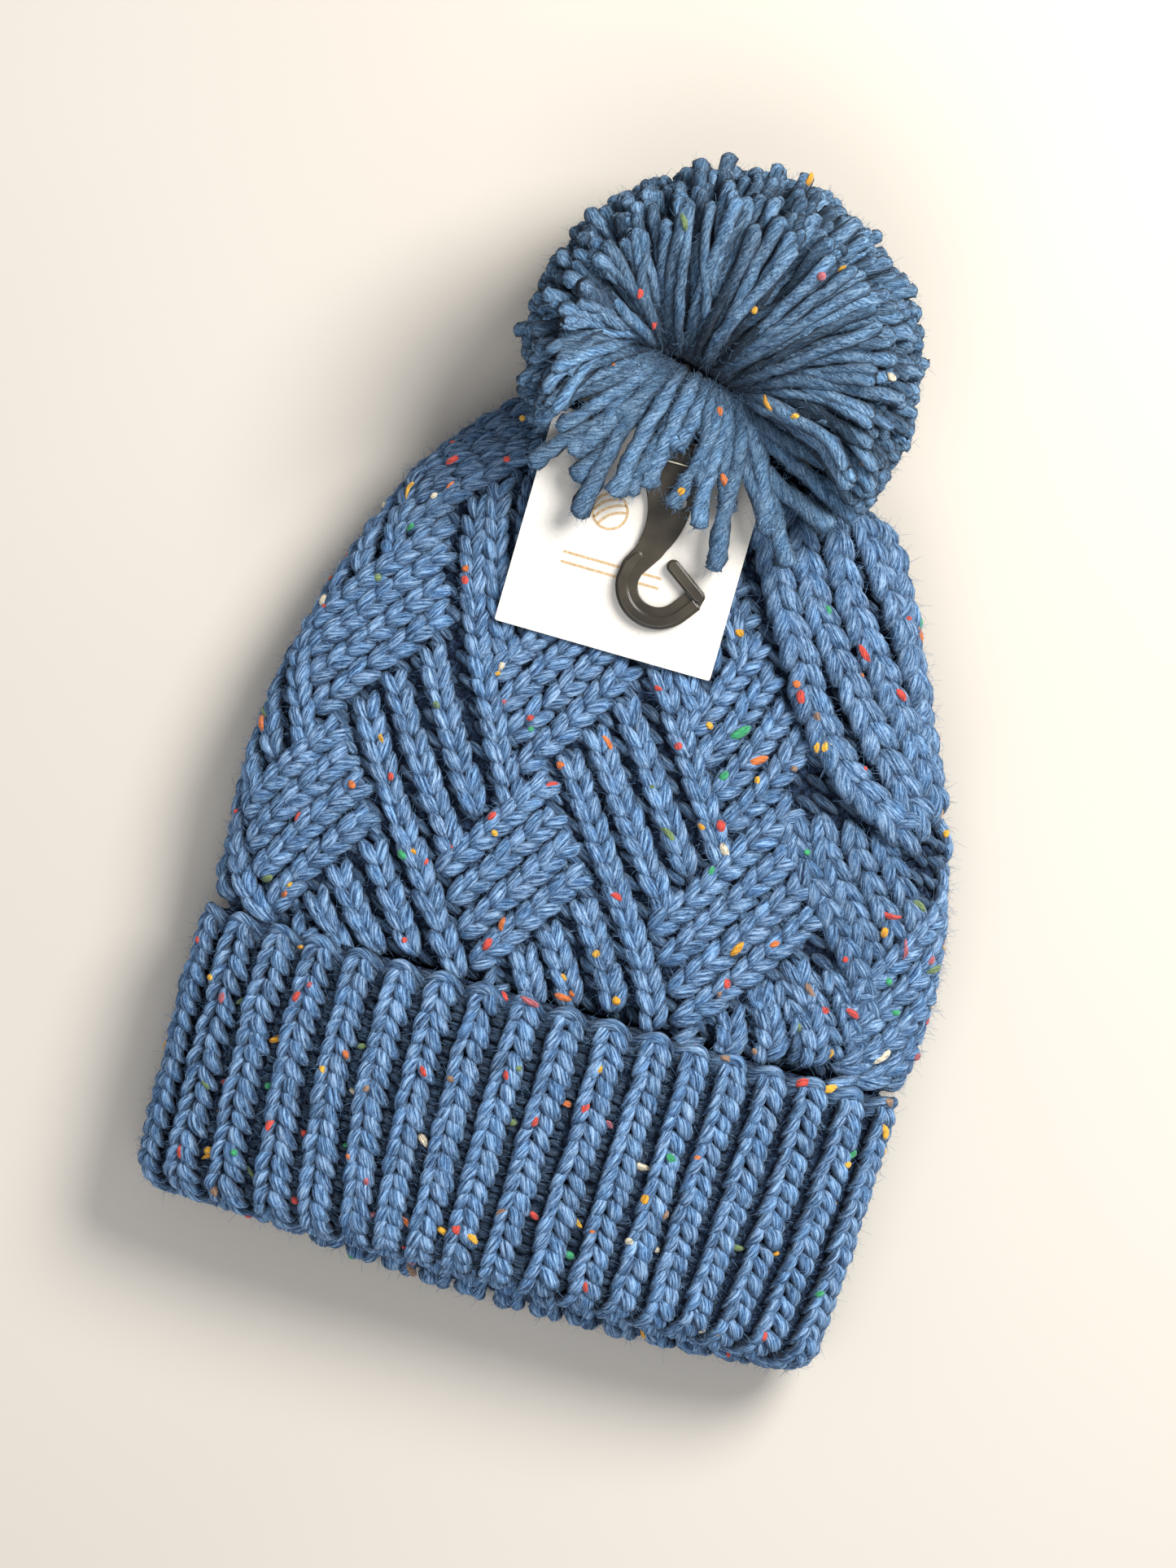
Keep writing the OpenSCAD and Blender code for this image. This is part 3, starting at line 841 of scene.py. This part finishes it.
def lattice():
    """Lines of all the crossing chains, as pairs of ends round and up the hat."""
    leaning, rising = [], []
    for i in range(CELLS):
        base_u, stretch = cell_start(i), cell_size(i) / CELL
        for tier in range(-1, 4):
            foot_y = FIRST_B[1] + tier * TIER
            steep = 0.84 if tier > 0 else 1.0
            if i != PANEL_CELL or tier < 0:
                leaning += [[(base_u + foot[0] * stretch, foot_y + foot[1]),
                             (base_u + (foot[0] + (top[0] - foot[0]) * steep) * stretch,
                              foot_y + top[1])] for foot, top in LEANING]
            rising += rising_lines(i, foot_y)
    rise_spots = sampled(rising)
    leaning = [[foot, grow(foot, top, rise_spots, 6.0, 22)] for foot, top in leaning]
    lean_spots = sampled(leaning)
    return leaning + [fitted_riser(low, high, lean_spots) for low, high in rising]


def purl_bumps():
    """Purl bumps in the valleys beside the chains, and all over behind them."""
    parts = {}
    for i in range(CELLS):
        for tier in range(-1, 1 if i == PANEL_CELL else 3):
            ys = np.arange(14, 68, 2.7)
            us = cell_start(i) + (1.5 - LEAN_RUN * (ys + 11) - 8.3) * cell_size(i) / CELL
            ys = ys + FIRST_B[1] + tier * TIER
            keep = (ys > 88) & (ys < 255)
            if keep.any():
                side = "front" if abs(wrap(us[0])) < ROUND / 4 else "back"
                bumps(parts.setdefault(side, Yarns()),
                      np.stack([wrap(us[keep]), ys[keep]], axis=-1), body_at, length=5.6,
                      thick=1.5, lift=-4.0, depth=0.5, lean=-1.2)
    for y in np.arange(87, 262, 6.4):
        us = np.arange(-ROUND / 2, ROUND / 2, 7.2 / body_scale(y)) + rng.uniform(0, 6)
        front = np.abs(us) < ROUND / 4
        for side, chosen in (("front", front), ("back", ~front)):
            spots = np.stack([us[chosen], np.full(chosen.sum(), y)], axis=-1)
            bumps(parts[side], spots + rng.normal(0, 0.7, spots.shape), body_at,
                  length=7.0, thick=1.7, lift=-4.6, depth=0.34, lean=-1.4, steps=6, sides=6)
    return parts


def crown_shade(y):
    """Painted shade: yarn is darkened towards the crown, where it is drawn together."""
    return 1 - 0.5 * np.clip((y - 194) / 42, 0, 1)


def knit_chains():
    """Chains of V stitches along the lattice's lines, in one piece for each quarter."""
    parts = {}
    for line in lattice():
        line = np.array(line)
        steps = max(2, int(line_length(line) / 8))
        line = np.linspace(line[0], line[1], steps + 1)
        line = line[(line[:, 1] > 82) & (line[:, 1] < 264)]
        if len(line) < 2:
            continue
        u = wrap(line[0, 0])
        line[:, 0] += u - line[0, 0]
        part = parts.setdefault(quarter_of(u, ROUND), Yarns())
        legs(part, line, body_place, squeeze=body_scale, lift=-2.0, tone=crown_shade, edge=1.0)
    return parts


# Chains right of the pleat, those under its folded edge and those by the cuff, from above
PANEL = [
    [*PLEAT, (90, 163)], [(27, 249), (43, 219), (62, 196), (84, 173), (93, 167)],
    [(37, 250), (51, 225), (66, 207), (82, 188), (97, 172)],
    [(46, 250), (58, 235), (71, 218), (84, 201), (99, 180)],
    [(54, 250), (66, 235), (79, 215), (92, 194)]]
UNDER = [
    [(52, 158), (57, 149), (86, 117), (92, 106)], [(61, 160), (65, 151), (88, 124)],
    [(70, 161), (74, 153), (93, 131)], [(79, 160), (98, 138)]]
BY_CUFF = [
    [(57, 107), (66, 90)], [(63, 110), (75, 89)], [(69, 115), (84, 91)], [(76, 117), (92, 92)]]
# The pleat's own chain stands this much higher than those beside it
FOLD_RISE = 1.8


def knit_panel():
    """The chains of the folded panel, in wider stitches than the rest."""
    panel = Yarns()
    # The tones are painted shade: the panel by the pleat, the chains under its fold and those by
    # the cuff are darkened
    for lines, pitch, width, lift, tone in (
            (PANEL, 7.3, 14.0, 0.0, 0.88), (UNDER, 6.6, 9.8, -1.4, 0.78),
            (BY_CUFF, 5.6, 7.6, -1.8, 0.85)):
        for k, line in enumerate(lines):
            line = np.array(line, float)
            limit = np.interp(line[:, 1], BODY_YS, BODY_GRID[:, :, 0].max(axis=1)) - 1.5
            line[:, 0] = plan_u(np.minimum(line[:, 0], limit), line[:, 1])
            rise = FOLD_RISE if lines is PANEL and k == 0 else 0
            legs(panel, line, body_at, pitch=pitch, width=width, lean=(1.2, 1.2),
                 spread=0.19, edge=1.0, tone=tone, squeeze=body_scale, lift=lift + rise)
    return panel


purl_parts, body_parts, panel = purl_bumps(), knit_chains(), knit_panel()
panel.piece("body_chains_panel", yarn_blue, "hat", "knit_body")
for side_name, part in purl_parts.items():
    part.piece("body_purl_" + side_name, yarn_blue, "hat", "knit_body")
for quarter, part in body_parts.items():
    part.piece("body_chains_" + quarter, yarn_blue, "hat", "knit_body")


# --- Pom-pom ----------------------------------------------------------------

def bezier(a, b, c, steps):
    t = np.linspace(0, 1, steps)[None, :, None]
    return (1 - t) ** 2 * a[:, None] + 2 * t * (1 - t) * b[:, None] + t ** 2 * c[:, None]


def strand_widths(steps, size, tip):
    """Half widths of strands that thicken from the root, with a swollen tip."""
    t = np.linspace(0, 1, steps)[None, :]
    w = size[:, None] * (0.62 + 0.38 * np.clip(t / 0.35, 0, 1))
    return w * (1 + (tip - 1) * np.clip((t - 0.75) / 0.2, 0, 1))


def blunt(path, wide):
    """Adds a rounded cut end to each strand."""
    end = path[:, -1:]
    d = unit(path[:, -1] - path[:, -2])[:, None]
    path = np.concatenate([path] + [end + d * k for k in (0.8, 1.5, 1.9)], axis=1)
    wide = np.concatenate([wide] + [wide[:, -1:] * k for k in (0.9, 0.6, 0.15)], axis=1)
    return path, wide


def dome_radius(azimuth, lift_angle):
    """Reach of the strands from the tie, by their direction."""
    out = np.interp(np.degrees(azimuth), [-112, -90, -60, 0, 45, 70, 90, 115],
                    [50, 53, 58.0, 65.2, 63.6, 60, 57, 55])
    high = 42.5 + 1.0 * np.cos(azimuth)
    p = 3.4
    return ((np.cos(lift_angle) / out) ** p
            + (np.abs(np.sin(lift_angle)) / high) ** p) ** (-1 / p)


def aim(azimuth, lift_angle):
    return np.stack([np.cos(lift_angle) * np.sin(azimuth),
                     np.cos(lift_angle) * np.cos(azimuth), np.sin(lift_angle)], axis=-1)


POM_STEPS = 15
N_STRANDS = 1100
# A golden-ratio step spreads the strands evenly over the dome
GOLDEN = 0.6180339887
MOST_AZIMUTH, MOST_LIFT = math.radians(113), math.radians(37)
# Azimuths, in degrees, that part the pom-pom into pieces
POM_CUTS = [-114, -50, 0, 50, 114]
# Half width, and how much a cut end swells
STRAND_R, STRAND_TIP = 1.95, 1.14


def upper_strands():
    """The pom-pom's dome of strands, in one bundle for each piece."""
    n = N_STRANDS
    order = np.arange(n) + 0.5
    azimuth = MOST_AZIMUTH * (2 * ((order * GOLDEN) % 1.0) - 1) + rng.normal(0, 0.05, n)
    lift_angle = np.arcsin((2 * order / n - 1) * math.sin(MOST_LIFT))
    lift_angle += rng.normal(0, math.radians(1.5), n)
    tilt = np.clip(lift_angle / MOST_LIFT, -1, 1)
    radius = dome_radius(azimuth, lift_angle) + rng.normal(0, 0.6, n) + rng.normal(
        0, 1.3, n) * (tilt > 0.6)
    end = TIE + aim(azimuth, lift_angle) * radius[:, None] + rng.normal(0, 0.7, (n, 3))
    sunk = (rng.random(n) < 0.45) & (np.abs(tilt) > 0.45)
    end[:, 2] -= 2.6 * sunk * tilt
    along_tie = np.clip(np.degrees(azimuth) / 80, -1, 1) + rng.normal(0, 0.05, n)
    root = TIE + np.stack([-6 + 19 * along_tie * np.abs(tilt),
                           5 - 3.5 * along_tie + 2 * np.cos(azimuth), 8.0 * tilt], axis=-1)
    mid = TIE + aim(azimuth * 0.74, lift_angle * 1.55) * radius[:, None] * 0.56
    mid += rng.normal(0, 1.5, (n, 3)) + (root - TIE) * [0.75, 0.3, 0]
    mid[:, 2] -= 3.4 * sunk * tilt
    path = bezier(root, mid, end, POM_STEPS)
    sway = rng.normal(0, 1.5, (n, 1, 3)) * np.sin(
        np.pi * np.linspace(0, 1, POM_STEPS) * rng.uniform(0.8, 1.7, (n, 1)))[..., None]
    path = path + sway + rng.normal(0, 0.2, (n, POM_STEPS, 3))
    path, wide = blunt(path, strand_widths(POM_STEPS, rng.normal(STRAND_R, 0.22, n),
                                           STRAND_TIP))
    up = np.broadcast_to(aim(azimuth, lift_angle + np.pi / 2)[:, None], path.shape)
    reach = np.linspace(0, 1, path.shape[1])[None, :]
    # Painted shade: strands darken towards the tie, and the sunk ones stay darker
    recess = np.where(sunk, 0.12, rng.uniform(0.7, 1.0, n))[:, None]
    depth = np.clip(0.05 + reach * 2.6, 0, 1) * np.clip(recess + 0.9 * reach ** 4, 0, 1)
    bunches = []
    for low, high in zip(POM_CUTS, POM_CUTS[1:]):
        chosen = (np.degrees(azimuth) > low) & (np.degrees(azimuth) <= high)
        shades = rng.choice([1.12, 1.0, 0.82, 0.62], chosen.sum(), p=[0.3, 0.35, 0.2, 0.15])
        bunch = Yarns()
        bunch.add(path[chosen], up[chosen], wide[chosen], wide[chosen], sides=8, twist=0.25,
                  tone=shades, depth=depth[chosen], lump=0.09, edge=1.0, rim=0.98, ragged=0.3)
        bunches.append(bunch)
    return bunches


# Loose strands over the tag: where each one bends and where its cut end lies
LOOSE = [
    (-27, 262, -33, 229), (-22, 262, -24, 236), (-17, 258, -20, 235), (-14, 262, -15, 243),
    (-9, 262, -10, 253), (-1, 258, -6, 239), (-32, 264, -44, 250), (-32, 268, -52, 254),
    (-30, 258, -47, 238), (-28, 260, -42, 243), (-26, 255, -37, 236), (-36, 268, -50, 249),
    (1, 256, 3, 236), (5, 257, 8, 240), (9, 250, 11, 224), (9, 260, 18, 240),
    (13, 254, 22, 238), (16, 252, 33, 227), (14, 268, 27, 271), (20, 259, 38, 261),
    (20, 256, 40, 253), (24, 256, 46, 248), (18, 252, 36, 243), (-5, 262, 0, 246),
    (-38, 272, -55, 262), (28, 266, 48, 258), (-40, 276, -58, 268), (30, 272, 50, 266)]
LOOSE_STEPS = 22


def loose_strands():
    """The strands that hang over the tag."""
    knee_x, knee_y, tip_x, tip_y = np.array(LOOSE, float).T
    n = len(LOOSE)
    order = np.arange(n)
    start = np.stack([TIE[0] + 0.55 * np.clip(knee_x - TIE[0], -30, 16),
                      274.5 - 0.12 * (knee_x - TIE[0]), np.full(n, 51.0)], axis=-1)
    knee = np.stack([knee_x, knee_y, 57.5 + 1.5 * np.sin(order * 2.4)], axis=-1)
    tip = np.stack([tip_x, tip_y, 53.6 + 1.4 * np.sin(order * 1.7)], axis=-1)
    path = bezier(start, knee, tip, LOOSE_STEPS)
    sway = rng.normal(0, 1.8, (n, 1, 3)) * [1, 1, 0.4] * np.sin(
        np.pi * np.linspace(0, 1, LOOSE_STEPS) * rng.uniform(0.8, 1.9, (n, 1)))[..., None]
    path = path + sway + rng.normal(0, 0.16, path.shape)
    path, wide = blunt(path, strand_widths(LOOSE_STEPS, rng.normal(2.3, 0.2, n), 1.25))
    up = np.broadcast_to(np.array([0, 0.05, 1.0]), path.shape)
    # Painted shade: each strand darkens towards its root
    depth = np.clip(np.linspace(0.1, 3.4, path.shape[1]), 0, 1)[None, :] * np.ones((n, 1))
    loose = Yarns()
    loose.add(path, up, wide, wide, sides=12, twist=0.3, lump=0.09, depth=depth, edge=1.0,
              rim=0.9, tone=rng.choice([0.95, 0.82, 0.7], n), ragged=0.32)
    return loose


poms, lower = upper_strands(), loose_strands()
for k, bunch in enumerate(poms):
    bunch.piece(f"pom_strands_{k + 1}", yarn_pom, "pom", "pom_yarn", "pom_tuft")
lower.piece("loose_strands", yarn_pom, "tie", "pom_yarn", "pom_lower_strands")


# --- Flecks and stray fibres ------------------------------------------------

# Each bundle of yarns, with its numbers of flecks and of stray fibres
for name, yarns, body, slot, flecks, hairs in (
        *[("cuff_" + q, p, "hat", "knit_cuff", 50, 4500) for q, p in cuff_parts.items()],
        ("band", lining, "hat", "knit_band", 40, 2500),
        ("body_panel", panel, "hat", "knit_body", 26, 5000),
        *[("body_" + q, p, "hat", "knit_body", 56, 8500) for q, p in body_parts.items()],
        *[(f"pom_{k + 1}", bunch, "pom", "pom_yarn", 30, 9800) for k, bunch in enumerate(poms)],
        ("loose", lower, "tie", "pom_yarn", 7, 9000)):
    neps(yarns, flecks).piece(name + "_flecks", tweed_flecks, body, slot)
    stray, hair_length = (yarn_pom, 2.1) if slot == "pom_yarn" else (yarn_blue, 3.0)
    fuzz(yarns, hairs, hair_length).piece(name + "_fuzz", stray, body, slot)


# --- Cords ------------------------------------------------------------------

def cord_piece(name, points, radius, body, node, closed=False):
    """A plied cord along the given points, with tapered ends unless it is closed."""
    points = np.asarray(points, float)
    wide = np.full((1, len(points)), float(radius))
    if not closed:
        wide[:, (0, -1)] *= 0.3
    along = unit(np.gradient(points, axis=0))
    guide = np.where(np.abs(along[:, 2:3]) < 0.8, [[0, 0, 1.0]], [[0, 1.0, 0]])
    cord = Yarns()
    cord.add(points[None], guide[None], wide, wide, sides=12, twist=1.1, lump=0.10)
    cord.piece(name, yarn_cord, body, "binding_yarn", node)


def tie_cord(turns_round=2.6, ring_r=7.6, spread=3.2):
    turns = np.linspace(0, 2 * np.pi * turns_round, 150)
    coil = np.stack([ring_r * np.cos(turns), spread * (turns / turns[-1] - 0.5),
                     ring_r * np.sin(turns)], axis=-1)
    cord_piece("tie_cord", TIE + coil, 1.25, "tie", "pom_tie")


def crown_cords():
    """The gathering yarn, the anchor cord through it and the knot on its end."""
    fold = np.array([0, FOLD_Y, 0])
    low, high = mm_box("crown_gathering_yarn")
    ring_r = (high[0] - low[0]) / 2 - 1.2
    turns = np.linspace(0, 2 * np.pi, 60)
    ring = np.stack([np.cos(turns), 0 * turns, np.sin(turns)], axis=-1)
    cord_piece("gathering_cord", (low + high) / 2 - fold + ring_r * ring, 1.15, "hat",
               "crown_gathering_yarn")
    knot = sum(mm_box("anchor_knot")) / 2 - fold
    far = mm_box("pom_anchor_cord")[1] - fold
    bend_y, t = far[1] - 2, np.linspace(0, 1, 40)
    marks = [0, 0.55, 0.7, 1]
    cord_piece("anchor_cord", np.stack([
        np.full(40, TIE[0]), np.interp(t, marks, [knot[1] + 3, bend_y - 2, bend_y, bend_y]),
        np.interp(t, marks, [24, 24, 26, far[2] - 0.5])], axis=-1), 1.9, "hat",
        "pom_anchor_cord")
    a = np.linspace(0, 2 * np.pi, 90)
    loop_r = 2.6 + 0.9 * np.cos(3 * a)
    trefoil = np.stack([loop_r * np.cos(2 * a), 1.4 * np.sin(3 * a),
                        loop_r * np.sin(2 * a)], axis=-1)
    cord_piece("knot_cord", knot + trefoil, 1.35, "hat", "anchor_knot", closed=True)


tie_cord()
crown_cords()


# --- Tag --------------------------------------------------------------------

def paper_material():
    material, tree, shader = new_material("tag_paper")
    fibre = object_noise(tree, 900.0, Detail=5.0, Roughness=0.6)
    cloud = object_noise(tree, 45.0, Detail=3.0)
    base = ramp(tree, cloud, [(0.35, (0.68, 0.645, 0.585)), (0.65, (0.75, 0.715, 0.655))])
    speck = ramp(tree, fibre, [(0.3, (0.93, 0.93, 0.92)), (0.5, (1, 1, 1))])
    relief(tree, shader, fibre, 0.25, 0.0001)
    set_shader(tree, shader, mix(tree, 1.0, base, speck, "MULTIPLY"), Roughness=0.62)
    return material


def plastic_material():
    material, tree, shader = new_material("hook_plastic")
    gloss_and_reflection = object_noise(tree, 90.0, Detail=2.0)
    grain = object_noise(tree, 2600.0, Detail=2.0)
    # Painted reflection: broad patches of lighter brown stand in for mottled reflections; the
    # same noise varies the roughness
    base = ramp(tree, gloss_and_reflection, [(0.35, (0.028, 0.023, 0.016)), (0.7, (0.056, 0.046, 0.031))])
    round_edge = add_node(tree, "ShaderNodeBevel", {"samples": 8}, Radius=0.0007)
    relief(tree, shader, grain, 0.2, 0.00006, Normal=round_edge.outputs["Normal"])
    uneven_roughness(tree, shader, gloss_and_reflection, 0.14, 0.30)
    set_shader(tree, shader, base)
    return material


def steel_material():
    material, tree, shader = new_material("staple_steel")
    scratch = object_noise(tree, 3000.0, Detail=3.0)
    base = ramp(tree, scratch, [(0.3, (0.52, 0.46, 0.34)), (0.7, (0.80, 0.74, 0.60))])
    set_shader(tree, shader, base, Metallic=1.0, Roughness=0.32)
    return material


def gold_material():
    material, tree, shader = new_material("gold_print")
    wear = object_noise(tree, 1400.0, Detail=3.0)
    base = ramp(tree, wear, [(0.35, (0.46, 0.31, 0.16)), (0.7, (0.66, 0.49, 0.29))])
    uneven_roughness(tree, shader, wear, 0.35, 0.6)
    set_shader(tree, shader, base, Metallic=0.45)
    return material


def paint(node, material):
    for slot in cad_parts[node].material_slots:
        slot.material = material


def ribbons(name, lines, width, height, material, body, slot):
    """Flat printed lines, given in the row's millimetres."""
    points, faces = [], []
    for line in lines:
        line = np.asarray(line, float)
        d = unit(np.gradient(line, axis=0))
        out = np.stack([-d[:, 1], d[:, 0]], axis=-1) * width / 2
        base = len(points)
        for p, o in zip(line, out):
            points += [(*(p - o), height), (*(p + o), height)]
        faces += [(base + 2 * k, base + 2 * k + 2, base + 2 * k + 3, base + 2 * k + 1)
                  for k in range(len(line) - 1)]
    piece = make_mesh(name, np.array(points) - [0, FOLD_Y, 0], [np.array(faces)])
    return finish_piece(piece, material, body, slot)


def card_print(ball_r=5.2, turn=0.6):
    """A plain ball-of-yarn ornament with two rules beneath it."""
    centre = (CARD_LOW + CARD_HIGH)[:2] / 2
    a = np.linspace(0, 2 * np.pi, 49)
    ball = [np.stack([ball_r * np.cos(a), ball_r * np.sin(a)], axis=-1)]
    b = np.linspace(-1, 1, 15)
    for bend in (-2.6, 0.0, 2.6):
        x, y = 5.0 * b * math.sqrt(1 - (bend / ball_r) ** 2), bend + 1.5 * (1 - b ** 2)
        ball.append(np.stack([x * math.cos(turn) - y * math.sin(turn) * 0.8,
                              x * math.sin(turn) + y * math.cos(turn) * 0.8], axis=-1))
    lines = [part + centre + (-9, 7) for part in ball]
    lines += [np.array([(-19, y), (11, y)]) + centre for y in (-8, -11)]
    ribbons("card_print", lines, 0.8, CARD_HIGH[2] + 0.04, gold_material(), "tag", "tag_card")


paint("tag_card", paper_material())
paint("tag_staple", steel_material())
paint("tag_hook", plastic_material())
card_print()


# --- Floor, light and camera ------------------------------------------------

# The camera and lights are turned with the hat's lean in the picture
LEAN = math.radians(16)
UP = Vector((-math.sin(LEAN), math.cos(LEAN), 0))
RIGHT = Vector((math.cos(LEAN), math.sin(LEAN), 0))


def floor_piece(half=3.0):
    material, tree, shader = new_material("floor")
    cloud = object_noise(tree, 3.0)
    base = ramp(tree, cloud, [(0.3, (0.57, 0.525, 0.455)), (0.7, (0.60, 0.555, 0.49))])
    set_shader(tree, shader, base, Roughness=0.7)
    mesh = bpy.data.meshes.new("floor")
    mesh.from_pydata([(-half, -half, 0), (half, -half, 0), (half, half, 0), (-half, half, 0)],
                     [], [(0, 1, 2, 3)])
    mesh.materials.append(material)
    floor = bpy.data.objects.new("floor", mesh)
    bpy.context.scene.collection.objects.link(floor)


def area_light(name, place, size, power, colour):
    """Round lamp that points at the origin."""
    light = bpy.data.lights.new(name, "AREA")
    light.shape = "DISK"
    light.size = size
    light.energy = power
    light.color = colour
    lamp = bpy.data.objects.new(name, light)
    lamp.location = place
    lamp.rotation_euler = (-place).to_track_quat("-Z", "Y").to_euler()
    bpy.context.scene.collection.objects.link(lamp)


def sky(colour, strength):
    world = bpy.data.worlds.new("world")
    world.use_nodes = True
    background = world.node_tree.nodes["Background"]
    background.inputs[0].default_value = colour
    background.inputs[1].default_value = strength
    bpy.context.scene.world = world


def top_camera(x, y, top_z=0.045, distance=2.4, frame_h=0.4622, sensor=36):
    """Camera straight above a point, whose frame is frame_h high at top_z."""
    data = bpy.data.cameras.new("camera")
    camera = bpy.data.objects.new("camera", data)
    bpy.context.scene.collection.objects.link(camera)
    camera.location = (x, y, top_z + distance)
    camera.rotation_euler = (0, 0, LEAN)
    data.sensor_fit = "AUTO"
    data.sensor_width = sensor
    data.lens = sensor * distance / frame_h
    data.clip_end = 20
    bpy.context.scene.camera = camera


floor_piece()
area_light("key", RIGHT * 0.6 + UP * 0.42 + Vector((0, 0, 0.85)), 0.6, 18.2,
           (1.0, 0.985, 0.96))
area_light("fill", RIGHT * -0.2 + UP * -0.55 + Vector((0, 0, 1.25)), 1.0, 6.5,
           (0.97, 0.98, 1.0))
sky((0.90, 0.93, 1.0, 1), 0.44)
top_camera(-0.0083, (151 + FOLD_Y) * MM)
bpy.context.scene.view_settings.view_transform = "Standard"
